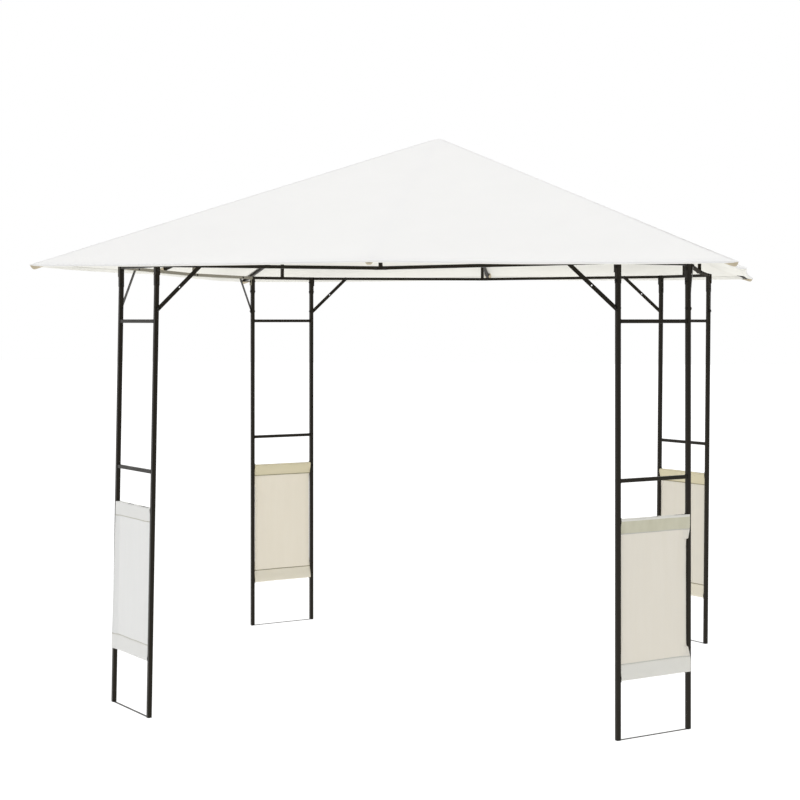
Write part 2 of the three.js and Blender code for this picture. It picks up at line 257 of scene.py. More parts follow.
for corner, degrees in CORNERS.items():
    plugs = bmesh.new()
    for x in (-LEG_WIDTH / 2, LEG_WIDTH / 2):
        side = UPRIGHT_TUBE - 2 * CUT_EDGE
        flange = square_bar(PLUG_HEIGHT, side, side, PLUG_CORNER)
        sole = [e for e in flange.edges if max(v.co.z for v in e.verts) < CUT_EDGE / 2]
        round_edges(flange, sole, PLUG_EDGE, 2)
        add_part(plugs, flange, Matrix.Translation((x, -CORNER_RADIUS, 0)))
    lean(plugs, SPLAYS[corner])
    plug = made_object(f"foot_plugs_{corner}", plugs, turned(degrees), plug_plastic)
    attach(plug, "root")

# ---- Panel rods ----------------------------------------------------------------------------------
# Two 13 mm tubes run through the sleeves of each leg's cloth. Their ends are pressed flat against a
# small lug that is welded to the inside of the upright.
ROD_TUBE = 0.013
ROD_HEIGHTS = (0.905, 0.251)
LUG_THICKNESS = 0.004
LUG_WIDTH = 0.014
LUG_HEIGHT = 0.025
LUG_CORNER = 0.003

for corner, degrees in CORNERS.items():
    rods = bmesh.new()
    for z in ROD_HEIGHTS:
        add_bar(rods, (-inner_face, -CORNER_RADIUS, z), (inner_face, -CORNER_RADIUS, z),
                ROD_TUBE, ROD_TUBE, RUNG_CORNER)
        for hand in (-1, 1):
            lug = square_bar(LUG_THICKNESS, LUG_WIDTH, LUG_HEIGHT, LUG_CORNER)
            lug.transform(Matrix.Rotation(-hand * math.pi / 2, 4, "Y"))
            lug.transform(Matrix.Rotation(math.pi / 2, 4, "X"))
            add_part(rods, lug, Matrix.Translation((hand * inner_face, -CORNER_RADIUS, z)))
    lean(rods, SPLAYS[corner])
    rod_pair = made_object(f"panel_rods_{corner}", rods, turned(degrees), powder_coat)
    rod_pair.modifiers.new("even_shading", "WEIGHTED_NORMAL").keep_sharp = True
    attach(rod_pair, "root")

# ---- Rafters -------------------------------------------------------------------------------------
# Four hip rafters and four middle rafters of 16 mm square tube fan out from the hub to the edge of
# the cover. Each outer end is cut square and closed by a plug, and sits in one of the cover's pockets.
APEX_HEIGHT = 2.638
# Height of the cover's edge at each corner and in the middle of each side, where a rafter lifts it.
CORNER_EAVES = {"front_left": 1.973, "front_right": 1.966, "back_right": 1.970, "back_left": 1.969}
MIDDLE_EAVES = {"front": 1.980, "right": 1.984, "back": 1.977, "left": 1.978}
HALF_COVER = 1.5
RAFTER_TUBE = 0.016
RAFTER_CORNER = 0.0022
COVER_CLOTH = 0.003        # what the frame allows for the cover above the rafters
RAFTER_CLEARANCE = 0.0015
HUB_RADIUS = 0.042
RAFTER_PLUG = 0.003
SIDES = {"front": 0, "right": 90, "back": 180, "left": -90}
HIP_SLOPES = {c: (APEX_HEIGHT - eave) / (HALF_COVER * math.sqrt(2)) for c, eave in CORNER_EAVES.items()}
MID_SLOPES = {s: (APEX_HEIGHT - eave) / HALF_COVER for s, eave in MIDDLE_EAVES.items()}
MID_DROP = COVER_CLOTH + RAFTER_CLEARANCE
HIP_DROP = MID_DROP + MID_SLOPES["front"] * RAFTER_TUBE / 2 / math.sqrt(2)


def rafter_line(slope, drop, distance):
    """The point on a rafter's centre line at that distance from the middle, along -Y."""
    half = RAFTER_TUBE / 2 * math.hypot(1, slope)
    return Vector((0, -distance, APEX_HEIGHT - drop - slope * distance - half))


def make_rafter(name, degrees, slope, drop, reach, *nodes):
    """A rafter and its end plug, from the hub out to reach."""
    tube = bmesh.new()
    start, end = rafter_line(slope, drop, HUB_RADIUS), rafter_line(slope, drop, reach)
    step = (end - start).normalized() * RAFTER_PLUG
    add_bar(tube, start, end - step, RAFTER_TUBE, RAFTER_TUBE, RAFTER_CORNER)
    add_bar(tube, end - step, end, RAFTER_TUBE - 2 * CUT_EDGE, RAFTER_TUBE - 2 * CUT_EDGE, RAFTER_CORNER)
    rafter = made_object(name, tube, turned(degrees), powder_coat)
    rafter.modifiers.new("even_shading", "WEIGHTED_NORMAL").keep_sharp = True
    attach(rafter, "root")
    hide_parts(*nodes)


hip_reach = (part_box("hip_rafter_front_right")[1].x - RAFTER_TUBE / 2 / math.sqrt(2)) * math.sqrt(2)
mid_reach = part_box("mid_rafter_right")[1].x
for corner, degrees in CORNERS.items():
    make_rafter(f"hip_tube_{corner}", degrees, HIP_SLOPES[corner], HIP_DROP, hip_reach,
                f"hip_rafter_{corner}")
for side, degrees in SIDES.items():
    make_rafter(f"mid_tube_{side}", degrees, MID_SLOPES[side], MID_DROP, mid_reach, f"mid_rafter_{side}")

# ---- Corner connectors ---------------------------------------------------------------------------
# A welded yoke joins the tops of each leg: two square sockets that go over the uprights, a 16 mm bar
# between them, and a riser whose two cheeks hold the hip rafter.
SOCKET_GAP = 0.0003
SOCKET_WALL = 0.001
SOCKET_TUBE = UPRIGHT_TUBE + 2 * (SOCKET_GAP + SOCKET_WALL)
SOCKET_LENGTH = 0.096
SOCKET_CAP = 0.002
CORNER_BAR = 0.016
RISER_TUBE = 0.016
CHEEK_THICKNESS = 0.002
CHEEK_LAP = 0.013
BEAM_TAB_HEIGHT = 0.050
BEAM_TUBE = 0.015
RING_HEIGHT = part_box("side_beam_left")[0].z + BEAM_TAB_HEIGHT - BEAM_TUBE / 2
SOCKET_TOP = RING_HEIGHT + CORNER_BAR / 2 + SOCKET_GAP


def hollow_end(bar, wall, depth):
    """Sinks the lower end of a bar, so that it is an open tube that deep."""
    end = min(bar.faces, key=lambda face: face.calc_center_median().z)
    bmesh.ops.inset_region(bar, faces=[end], thickness=wall, use_even_offset=True)
    sunk = bmesh.ops.extrude_face_region(bar, geom=[end])
    bore = [v for v in sunk["geom"] if isinstance(v, bmesh.types.BMVert)]
    bmesh.ops.translate(bar, verts=bore, vec=(0, 0, depth))


def add_riser(piece, centre, foot_z, slope, drop):
    """Adds a riser from foot_z up to the rafter above it, with a cheek on each side of the rafter."""
    rafter_axis = rafter_line(slope, drop, -centre.y).z
    seat = rafter_axis - RAFTER_TUBE / 2 * math.hypot(1, slope) - slope * RISER_TUBE / 2 - SOCKET_GAP
    add_bar(piece, (centre.x, centre.y, foot_z), (centre.x, centre.y, seat),
            RISER_TUBE, RISER_TUBE, RAFTER_CORNER)
    for hand in (-1, 1):
        x = hand * (RISER_TUBE / 2 + SOCKET_GAP + CHEEK_THICKNESS / 2)
        add_bar(piece, (x, centre.y, seat - CHEEK_LAP), (x, centre.y, rafter_axis + CHEEK_LAP / 3),
                CHEEK_THICKNESS, RISER_TUBE, CUT_EDGE)
    return rafter_axis


UP = Vector((0, 0, 1))
leg_point = Vector((0, -CORNER_RADIUS, 0))
for corner, degrees in CORNERS.items():
    yoke = bmesh.new()
    for x in (-LEG_WIDTH / 2, LEG_WIDTH / 2):
        socket = square_bar(SOCKET_LENGTH, SOCKET_TUBE, SOCKET_TUBE, UPRIGHT_CORNER + SOCKET_WALL)
        hollow_end(socket, SOCKET_WALL, SOCKET_LENGTH - SOCKET_CAP)
        add_part(yoke, socket, Matrix.Translation((x, -CORNER_RADIUS, SOCKET_TOP - SOCKET_LENGTH)))
    reach = LEG_WIDTH / 2 - SOCKET_TUBE / 2
    left, right = (-reach, -CORNER_RADIUS, RING_HEIGHT), (reach, -CORNER_RADIUS, RING_HEIGHT)
    add_bar(yoke, left, right, CORNER_BAR, CORNER_BAR, UPRIGHT_CORNER)
    add_weld(yoke, left, right, CORNER_BAR - WELD_SIZE)
    add_weld(yoke, right, left, CORNER_BAR - WELD_SIZE)
    add_riser(yoke, leg_point, RING_HEIGHT + CORNER_BAR / 2, HIP_SLOPES[corner], HIP_DROP)
    riser_foot = leg_point + UP * (RING_HEIGHT + CORNER_BAR / 2)
    add_weld(yoke, riser_foot, riser_foot + UP, RISER_TUBE - WELD_SIZE)
    connector = made_object(f"connector_{corner}", yoke, turned(degrees), powder_coat)
    connector.modifiers.new("even_shading", "WEIGHTED_NORMAL").keep_sharp = True
    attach(connector, "root")
    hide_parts(f"corner_connector_{corner}")

# ---- Ring beams ----------------------------------------------------------------------------------
# Each side of the ring is two 15 mm tubes that meet at a riser in the middle, where the joint hangs a
# little. Bolted saddle plates hold the joint, and a flat tab on each outer end laps the socket. The
# left beam's coat is a dull grey, and the right beam's is a matt brown black.
BEAM_CORNER = 0.002
BEAM_TAB_THICKNESS = 0.0025
BEAM_DIPS = {"front": 0.018, "right": 0.008, "back": 0.008, "left": 0.008}
SADDLE_LENGTH = 0.056
SADDLE_THICKNESS = 0.002
JOINT_GAP = 0.0008
HALF_RING = LEG_CENTRE + LEG_WIDTH / 2 / math.sqrt(2)
HALF_BEAM = LEG_CENTRE - LEG_WIDTH / 2 / math.sqrt(2)
tab_middle = SOCKET_TUBE / 2 + SOCKET_GAP + BEAM_TAB_THICKNESS / 2
grey_coat = baked_coat("grey_powder_coat", "#8a8678", "#757165", 0.60, 0.20)
matt_coat = baked_coat("matt_brown_black_powder_coat", "#2b261c", "#1c1812", 0.85, 0.05)
BEAM_COATS = {"front": powder_coat, "right": matt_coat, "back": powder_coat, "left": grey_coat}


def beam_height(side, x):
    """The height of a beam's centre line at a distance from the middle of its side."""
    return RING_HEIGHT - BEAM_DIPS[side] * (1 - abs(x) / HALF_BEAM)


for side, degrees in SIDES.items():
    beam = bmesh.new()
    for hand in (-1, 1):
        tube = bmesh.new()
        add_bar(tube, (hand * JOINT_GAP / 2, -HALF_RING, beam_height(side, 0)),
                (hand * HALF_BEAM, -HALF_RING, RING_HEIGHT), BEAM_TUBE, BEAM_TUBE, BEAM_CORNER)
        away = Vector((-hand, -1, 0)).normalized()
        tab_centre = Vector((hand * HALF_BEAM, -HALF_RING, 0)) + away * tab_middle
        cut = sliced(tube, tab_centre, away, clear_behind=True)
        rim = [e for e in cut["geom_cut"] if isinstance(e, bmesh.types.BMEdge)]
        bmesh.ops.edgenet_fill(tube, edges=rim)
        add_part(beam, tube)
        tab_top = RING_HEIGHT + BEAM_TUBE / 2
        tab = square_bar(BEAM_TAB_HEIGHT, BEAM_TAB_THICKNESS, SOCKET_TUBE, CUT_EDGE)
        add_part(beam, tab, Matrix.Translation(tab_centre + Vector((0, 0, tab_top - BEAM_TAB_HEIGHT)))
                 @ turned(hand * 45))
        saddle_y = -HALF_RING + hand * (BEAM_TUBE / 2 + SADDLE_THICKNESS / 2)
        middle = beam_height(side, 0)
        add_bar(beam, (-SADDLE_LENGTH / 2, saddle_y, middle), (SADDLE_LENGTH / 2, saddle_y, middle),
                SADDLE_THICKNESS, BEAM_TUBE, CUT_EDGE)
    add_riser(beam, Vector((0, -HALF_RING, 0)), middle + BEAM_TUBE / 2, MID_SLOPES[side], MID_DROP)
    ring_beam = made_object(f"ring_beam_{side}", beam, turned(degrees), BEAM_COATS[side])
    ring_beam.modifiers.new("even_shading", "WEIGHTED_NORMAL").keep_sharp = True
    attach(ring_beam, "root")
    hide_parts(f"side_beam_{side}")

# ---- Corner braces -------------------------------------------------------------------------------
# A punched strip of 2.5 mm flat steel ties each beam to its upright. The lower end is folded to lie on
# the upright's face, both ends are rounded about their bolts, and there is a spare hole at mid-length.
BRACE_REACH = 0.204
BRACE_DROP = 0.184
BRACE_WIDTH = 0.018
BRACE_THICKNESS = 0.0025
BRACE_FOLD = 0.005
BRACE_BEND = 0.0012
BRACE_WASHER = 0.001
BRACE_HOLE = 0.0062
brace_stand = SOCKET_GAP + BRACE_THICKNESS / 2
brace_tab = UPRIGHT_TUBE / 2 + brace_stand
fold = Vector(((brace_tab + BRACE_FOLD) / math.sqrt(2), (BRACE_FOLD - brace_tab) / math.sqrt(2), 0))
bolt_y = -(BEAM_TUBE / 2 + BRACE_WASHER + brace_stand)
brace_run = math.hypot(BRACE_REACH - fold.x, bolt_y - fold.y)
brace_tilt = math.atan2(BRACE_DROP, brace_run)
brace_turn = math.atan2(bolt_y - fold.y, BRACE_REACH - fold.x)


def punched_strip(length, width, thickness, holes, hole):
    """A flat strip with round ends and punched holes, lying along +X with its round ends centred on
    the two ends of that length."""
    strip = bmesh.new()
    bmesh.ops.create_circle(strip, segments=32, radius=width / 2)
    for vert in strip.verts:
        if vert.co.x > 0:
            vert.co.x += length
    for x in holes:
        bmesh.ops.create_circle(strip, segments=16, radius=hole / 2, matrix=Matrix.Translation((x, 0, 0)))
    bmesh.ops.triangle_fill(strip, use_beauty=True, edges=strip.edges[:], normal=(0, 0, 1))
    raised = bmesh.ops.extrude_face_region(strip, geom=strip.faces[:])
    top = [v for v in raised["geom"] if isinstance(v, bmesh.types.BMVert)]
    bmesh.ops.translate(strip, verts=top, vec=(0, 0, thickness))
    bmesh.ops.recalc_face_normals(strip, faces=strip.faces[:])
    return strip


def make_brace(side, hand, degrees):
    """One brace at the left (-1) or right (1) end of a side's beam."""
    tail = BRACE_FOLD / math.cos(brace_tilt)
    length = math.hypot(brace_run, BRACE_DROP)
    brace = punched_strip(length + tail, BRACE_WIDTH, BRACE_THICKNESS, (tail + length / 2,), BRACE_HOLE)
    brace.transform(Matrix.Translation((-tail, 0, -BRACE_THICKNESS / 2)))
    brace.transform(Matrix.Rotation(math.pi / 2, 4, "X"))
    brace.transform(Matrix.Rotation(-brace_tilt, 4, "Y"))
    for bend in (-BRACE_BEND, 0, BRACE_BEND):
        sliced(brace, (bend, 0, 0), (1, 0, 0))
    fold_turn = math.pi / 4 - brace_turn
    for vert in brace.verts:
        if vert.co.x < 0:
            share = min(1.0, -vert.co.x / BRACE_BEND)
            vert.co = Matrix.Rotation(fold_turn * share, 3, "Z") @ vert.co
    brace.transform(Matrix.Rotation(brace_turn, 4, "Z"))
    low_z = beam_height(side, HALF_BEAM - BRACE_REACH) - BRACE_DROP
    brace.transform(Matrix.Translation(fold + Vector((-HALF_BEAM, -HALF_RING, low_z))))
    if hand > 0:
        brace.transform(Matrix.Diagonal((-1, 1, 1, 1)))
        bmesh.ops.reverse_faces(brace, faces=brace.faces[:])
    name = f"{side}_{'left' if hand < 0 else 'right'}"
    made = made_object(f"corner_brace_{name}", brace, turned(degrees), powder_coat)
    edges = made.modifiers.new("broken_edges", "BEVEL")
    edges.width = CUT_EDGE
    edges.limit_method = "ANGLE"
    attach(made, "root")
    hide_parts(f"brace_{name}")


for side, degrees in SIDES.items():
    for hand in (-1, 1):
        make_brace(side, hand, degrees)

# ---- Bolts ---------------------------------------------------------------------------------------
# M6 hex bolts, blackened, each with a washer under the head and a nut on the other side: two through
# every socket and every pair of saddle plates, one at each end of every brace, and one through the
# cheeks of every riser.
HEAD_RADIUS = 0.0054
HEAD_HEIGHT = 0.0035
NUT_HEIGHT = 0.0040
WASHER_RADIUS = 0.0060
WASHER_THICKNESS = 0.0010
THREAD_RADIUS = 0.0029
THREAD_END = 0.0015
SOCKET_BOLTS = (1.952, 1.897)
JOINT_BOLT = 0.019

# Steel with a black zinc finish: a dark metal with a tight grey glint, a little patchy.
PLATING_PATCH = 0.004
black_zinc, output = new_material("black_zinc_plated_steel")
place = add_node(black_zinc, "ShaderNodeTexCoord")
patches = add_node(black_zinc, "ShaderNodeTexNoise", {
    "Vector": place.outputs["Object"], "Scale": 1 / PLATING_PATCH, "Detail": 2.0})
tone = add_node(black_zinc, "ShaderNodeMix", {
    "Factor": patches.outputs["Fac"], "A": linear("#1c1b19"), "B": linear("#3a3936")}, data_type="RGBA")
gloss = add_node(black_zinc, "ShaderNodeMapRange", {
    "Value": patches.outputs["Fac"], "To Min": 0.38, "To Max": 0.6})
skin = add_node(black_zinc, "ShaderNodeBsdfPrincipled", {
    "Base Color": tone.outputs["Result"], "Metallic": 0.8, "Roughness": gloss.outputs["Result"]})
black_zinc.node_tree.links.new(skin.outputs["BSDF"], output.inputs["Surface"])


def hexagon(radius, height):
    """A bolt head or nut standing on the origin, with its outer corners turned off."""
    head = bmesh.new()
    bmesh.ops.create_cone(head, cap_ends=True, segments=6, radius1=radius, radius2=radius, depth=height,
                          matrix=Matrix.Translation((0, 0, height / 2)))
    rim = [e for e in head.edges if min(v.co.z for v in e.verts) > height / 2]
    round_edges(head, rim, height / 7, 2)
    return head


def disc(radius, height):
    """A short round bar standing on the origin."""
    made = bmesh.new()
    bmesh.ops.create_cone(made, cap_ends=True, segments=20, radius1=radius, radius2=radius, depth=height,
                          matrix=Matrix.Translation((0, 0, height / 2)))
    return made


def add_bolt(piece, centre, direction, head_side, nut_side):
    """Adds a bolt through centre: its washer sits at head_side along direction, its nut at nut_side
    the other way."""
    direction = Vector(direction).normalized()
    centre = Vector(centre)
    seat = towards(centre + direction * head_side, centre + direction)
    add_part(piece, disc(WASHER_RADIUS, WASHER_THICKNESS), seat)
    add_part(piece, hexagon(HEAD_RADIUS, HEAD_HEIGHT), seat @ Matrix.Translation((0, 0, WASHER_THICKNESS)))
    seat = towards(centre - direction * nut_side, centre - direction)
    add_part(piece, hexagon(HEAD_RADIUS, NUT_HEIGHT), seat)
    add_part(piece, disc(THREAD_RADIUS, NUT_HEIGHT + THREAD_END), seat)


half_socket = SOCKET_TUBE / 2
tab_face = tab_middle + BEAM_TAB_THICKNESS / 2
for corner, degrees in CORNERS.items():
    bolts = bmesh.new()
    for hand in (-1, 1):
        upright = Vector((hand * LEG_WIDTH / 2, -CORNER_RADIUS, 0))
        for z, head_side in zip(SOCKET_BOLTS, (tab_face, half_socket)):
            add_bolt(bolts, upright + Vector((0, 0, z)), (hand, 0, 0), head_side, half_socket)
        low_z = RING_HEIGHT - BRACE_DROP - BRACE_FOLD * math.tan(brace_tilt)
        add_bolt(bolts, upright + Vector((0, 0, low_z)), (hand, 0, 0),
                 brace_tab + BRACE_THICKNESS / 2, UPRIGHT_TUBE / 2)
    axis = rafter_line(HIP_SLOPES[corner], HIP_DROP, CORNER_RADIUS)
    cheek_face = RISER_TUBE / 2 + SOCKET_GAP + CHEEK_THICKNESS
    add_bolt(bolts, axis, (1, 0, 0), cheek_face, cheek_face)
    bolt_set = made_object(f"bolts_{corner}", bolts, turned(degrees), black_zinc)
    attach(bolt_set, "root")
for side, degrees in SIDES.items():
    bolts = bmesh.new()
    for hand in (-1, 1):
        x = hand * (HALF_BEAM - BRACE_REACH)
        brace_face = BEAM_TUBE / 2 + BRACE_WASHER + SOCKET_GAP + BRACE_THICKNESS
        add_bolt(bolts, (x, -HALF_RING, beam_height(side, x)), (0, -1, 0), brace_face, BEAM_TUBE / 2)
        saddle_face = BEAM_TUBE / 2 + SADDLE_THICKNESS
        joint = (hand * JOINT_BOLT, -HALF_RING, beam_height(side, 0))
        add_bolt(bolts, joint, (0, -1, 0), saddle_face, saddle_face)
    add_bolt(bolts, rafter_line(MID_SLOPES[side], MID_DROP, HALF_RING), (1, 0, 0), cheek_face, cheek_face)
    bolt_set = made_object(f"bolts_{side}", bolts, turned(degrees), black_zinc)
    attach(bolt_set, "root")

# ---- Crown hub -----------------------------------------------------------------------------------
# A moulded black boss under the peak holds the inner ends of the eight rafters. Each rafter goes into
# a short square socket, and the boss is recessed underneath, with a screw in the middle.
HUB_HEIGHT = 0.046
HUB_EDGE = 0.004
HUB_SOCKET_LENGTH = 0.034
HUB_SOCKET_WALL = 0.0025
HUB_SOCKET_SHIFT = 0.0008
HUB_RIM = 0.012
HUB_RECESS = 0.004
HUB_RECESS_SLOPE = 0.008
HUB_SCREW = 0.009
hub_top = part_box("crown_hub")[1].z
hub = bmesh.new()
boss = bmesh.new()
bmesh.ops.create_cone(boss, cap_ends=True, segments=48, radius1=HUB_RADIUS, radius2=HUB_RADIUS,
                      depth=HUB_HEIGHT, matrix=Matrix.Translation((0, 0, hub_top - HUB_HEIGHT / 2)))
rims = [e for e in boss.edges if abs(e.verts[0].co.z - e.verts[1].co.z) < HUB_EDGE]
round_edges(boss, rims, HUB_EDGE, 4)
underside = min(boss.faces, key=lambda face: face.calc_center_median().z)
bmesh.ops.inset_region(boss, faces=[underside], thickness=HUB_RIM, depth=0)
bmesh.ops.inset_region(boss, faces=[underside], thickness=HUB_RECESS_SLOPE, depth=-HUB_RECESS)
add_part(hub, boss)
screw = hexagon(HUB_SCREW, HEAD_HEIGHT * 1.5)
screw_z = hub_top - HUB_HEIGHT + HUB_RECESS
add_part(hub, screw, towards((0, 0, screw_z), (0, 0, screw_z - 1)))
for index in range(8):
    slope, drop = (HIP_SLOPES["front_left"], HIP_DROP) if index % 2 else (MID_SLOPES["front"], MID_DROP)
    start = rafter_line(slope, drop, HUB_RADIUS - HUB_EDGE)
    end = rafter_line(slope, drop, HUB_RADIUS + HUB_SOCKET_LENGTH)
    outside = RAFTER_TUBE + 2 * HUB_SOCKET_WALL
    sleeve = square_bar((end - start).length, outside, outside, RAFTER_CORNER + HUB_SOCKET_WALL)
    place = turned(45 * index) @ towards(end, start)
    hollow_end(sleeve, HUB_SOCKET_WALL - SOCKET_GAP, HUB_SOCKET_LENGTH)
    add_part(hub, sleeve, place @ Matrix.Translation((0, -HUB_SOCKET_SHIFT, 0)))
crown = made_object("hub_casting", hub, Matrix(), plug_plastic)
crown.modifiers.new("even_shading", "WEIGHTED_NORMAL").keep_sharp = True
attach(crown, "root")
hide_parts("crown_hub")

# ---- Cover ---------------------------------------------------------------------------------------
# One cloth of coated polyester, four triangles sewn together along the hips. It is pulled tight over
# the rafters, sags slightly between them, and its edge is turned under into a hem.
COVER_CUTS = 83
COVER_THICKNESS = 0.0008
PEAK_ROUNDING = 0.010
COVER_SAGS = {"front": 0.010, "right": 0.042, "back": 0.016, "left": 0.016}
SAG_SCALE = 1.75           # makes the deepest point of a side about as deep as COVER_SAGS says
SAG_FADE = 14              # the higher it is, the nearer to the edge the sag reaches
EDGE_SAG = 0.005
EDGE_CURVE = 0.011
DEEP_EDGE_CURVE = 0.028    # the front half of the right edge, which curves in more
EDGE_CURVE_FADE = 8        # the higher it is, the nearer to the edge the curve stays
COVER_RIPPLE = 0.0016
RIPPLE_SIZE = 0.35
HEM_STEPS = ((0.0000, 0.0028), (0.0015, 0.0066), (0.0055, 0.0102), (0.0140, 0.0112), (0.0260, 0.0018))
HEM_LINING_FROM = 0.005    # past this far in, the hem shows the inner face of the cloth
CLOTH_SHARP_ANGLE = math.radians(30)

# Polyester cloth, about 170 g/m2, woven and given a thin clear coating: matt off-white, a fine plain weave,
# slightly cloudy where the coating is thicker. Light comes through it a little warmer.
THREAD_PITCH = 0.0016      # the real threads are about 0.4 mm apart, drawn coarser so that they show
CLOUD_SIZE = 0.22


def woven_cloth(name, light, dark, glow, through, stretch=(1, 1, 1)):
    """Plain-woven polyester between two close tones. glow is the colour of the light that comes
    through it and through its share. stretch draws the clouds out into streaks along the threads."""
    material, output = new_material(name)
    place = add_node(material, "ShaderNodeUVMap", uv_map="cloth")
    threads = []
    for direction in ("X", "Y"):
        threads.append(add_node(material, "ShaderNodeTexWave", {
            "Vector": place.outputs["UV"], "Scale": math.pi / 10 / THREAD_PITCH, "Distortion": 0.25,
            "Detail": 1.0, "Detail Scale": 1.0}, wave_type="BANDS", bands_direction=direction))
    weave = add_node(material, "ShaderNodeMath", {0: threads[0].outputs["Fac"], 1: threads[1].outputs["Fac"]},
                     operation="MULTIPLY")
    drawn = add_node(material, "ShaderNodeVectorMath", {
        0: place.outputs["UV"], 1: stretch}, operation="MULTIPLY")
    clouds = add_node(material, "ShaderNodeTexNoise", {
        "Vector": drawn.outputs["Vector"], "Scale": 1 / CLOUD_SIZE, "Detail": 5.0, "Roughness": 0.6})
    tone = add_node(material, "ShaderNodeMix", {
        "Factor": clouds.outputs["Fac"], "A": linear(dark), "B": linear(light)}, data_type="RGBA")
    thread_shade = add_node(material, "ShaderNodeMapRange", {
        "Value": weave.outputs["Value"], "To Min": 0.965, "To Max": 1.0})
    cloth = add_node(material, "ShaderNodeVectorMath", {
        0: tone.outputs["Result"], "Scale": thread_shade.outputs["Result"]}, operation="SCALE")
    relief = add_node(material, "ShaderNodeBump", {
        "Height": weave.outputs["Value"], "Strength": 0.35, "Distance": 0.0003})
    face = add_node(material, "ShaderNodeBsdfPrincipled", {
        "Base Color": cloth.outputs["Vector"], "Roughness": 0.85, "Specular IOR Level": 0.25,
        "Normal": relief.outputs["Normal"]})
    lit_through = add_node(material, "ShaderNodeBsdfTranslucent", {"Color": linear(glow)})
    both = add_node(material, "ShaderNodeMixShader", {
        "Fac": through, 1: face.outputs["BSDF"], 2: lit_through.outputs["BSDF"]})
    material.node_tree.links.new(both.outputs["Shader"], output.inputs["Surface"])
    return material


cover_cloth = woven_cloth("coated_white_polyester", "#f6f6f6", "#f2f2f2", "#f4efdf", 0.12)
# The inner face is the same cloth, painted a little warmer as painted light, for the light that comes through
# the cloth from above.
underside_painted_warm = woven_cloth("painted_warm_polyester_underside", "#f7f6f0", "#f2f1ea", "#f8f4e4", 0.12)


def cover_height(x, y):
    """The height of the cover's upper face, with its sag between the rafters."""
    far, near = max(abs(x), abs(y)), min(abs(x), abs(y))
    row, column = "back" if y > 0 else "front", "right" if x > 0 else "left"
    side = row if abs(y) > abs(x) else column
    middle, corner = MIDDLE_EAVES[side], CORNER_EAVES[f"{row}_{column}"]
    between = 4 * (near / far) * (1 - near / far) if far > 1e-6 else 0
    out = far / HALF_COVER
    sag = EDGE_SAG * out * out + COVER_SAGS[side] * SAG_SCALE * out ** 3 * (1 - min(out, 1.0) ** SAG_FADE)
    ripple = noise.noise(Vector((x, y, 0)) / RIPPLE_SIZE) * COVER_RIPPLE
    fall = (APEX_HEIGHT - middle) * math.hypot(far, PEAK_ROUNDING) + (middle - corner) * near
    return APEX_HEIGHT - fall / HALF_COVER + (ripple - sag) * between


def edge_pull(x, y):
    """How far the tight edge curves in at a point, between the rafter ends."""
    far, near = max(abs(x), abs(y)), min(abs(x), abs(y))
    share = near / HALF_COVER
    curve = DEEP_EDGE_CURVE if x >= far > 0 > y else EDGE_CURVE
    return curve * 4 * share * (1 - share) * (far / HALF_COVER) ** EDGE_CURVE_FADE


def outward(x, y):
    """The directions in which a point of the cover's edge faces out, both at a corner."""
    far = max(abs(x), abs(y)) - 1e-5
    return Vector((math.copysign(abs(x) >= far, x), math.copysign(abs(y) >= far, y), 0))


def add_cloth_map(piece, place_on_cloth):
    """Gives the cloth a UV map in metres, so that a weave follows it."""
    layer = piece.loops.layers.uv.new("cloth")
    for face in piece.faces:
        middle = face.calc_center_median()
        for loop in face.loops:
            loop[layer].uv = place_on_cloth(loop.vert.co, middle)


def on_cover(point, middle):
    """Where a point lies on its triangle of the cover: along the edge, and down the slope."""
    along, down = (point.y, point.x) if abs(middle.x) > abs(middle.y) else (point.x, point.y)
    return along, abs(down) * math.hypot(1, MID_SLOPES["front"])


def thicken(made, thickness, offset, inner_slot=0):
    """Gives a cloth its thickness. Its inner face takes the finish that many slots further on."""
    thick = made.modifiers.new("cloth_thickness", "SOLIDIFY")
    thick.thickness = thickness
    thick.offset = offset
    thick.material_offset = inner_slot


cover = bmesh.new()
bmesh.ops.create_cone(cover, cap_ends=False, segments=4, radius1=HALF_COVER * math.sqrt(2), radius2=0,
                      depth=1, matrix=Matrix.Rotation(math.pi / 4, 4, "Z"))
bmesh.ops.remove_doubles(cover, verts=cover.verts[:], dist=1e-4)
bmesh.ops.subdivide_edges(cover, edges=cover.edges[:], cuts=COVER_CUTS, use_grid_fill=True)
edge = [e for e in cover.edges if e.is_boundary]
eave = {v: Vector((v.co.x, v.co.y, 0)) for e in edge for v in e.verts}
for vert in cover.verts:
    x, y = vert.co.x, vert.co.y
    pull = outward(x, y) * edge_pull(x, y) if max(abs(x), abs(y)) > HALF_COVER / 3 else Vector()
    vert.co = Vector((x, y, cover_height(x, y))) - pull
for inward, below in HEM_STEPS:
    turned_under = bmesh.ops.extrude_edge_only(cover, edges=edge)
    edge = [e for e in turned_under["geom"] if isinstance(e, bmesh.types.BMEdge)]
    pairs = {}
    for vert in {v for e in edge for v in e.verts}:
        source = next(e.other_vert(vert) for e in vert.link_edges if e.other_vert(vert) in eave)
        flat = eave[source]
        inner = flat - outward(flat.x, flat.y) * inward
        pull = outward(flat.x, flat.y) * edge_pull(flat.x, flat.y)
        vert.co = Vector((inner.x, inner.y, cover_height(inner.x, inner.y) - below)) - pull
        pairs[vert] = flat
    eave = pairs
    for face in turned_under["geom"]:
        if isinstance(face, bmesh.types.BMFace):
            face.material_index = int(inward > HEM_LINING_FROM)
bmesh.ops.recalc_face_normals(cover, faces=cover.faces[:])
add_cloth_map(cover, on_cover)
canopy = made_object("cover_cloth", cover, Matrix(), cover_cloth, CLOTH_SHARP_ANGLE)
canopy.data.materials.append(underside_painted_warm)
thicken(canopy, COVER_THICKNESS, -1, 1)
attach(canopy, "root")
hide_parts(*[f"canopy_panel_{side}" for side in SIDES])

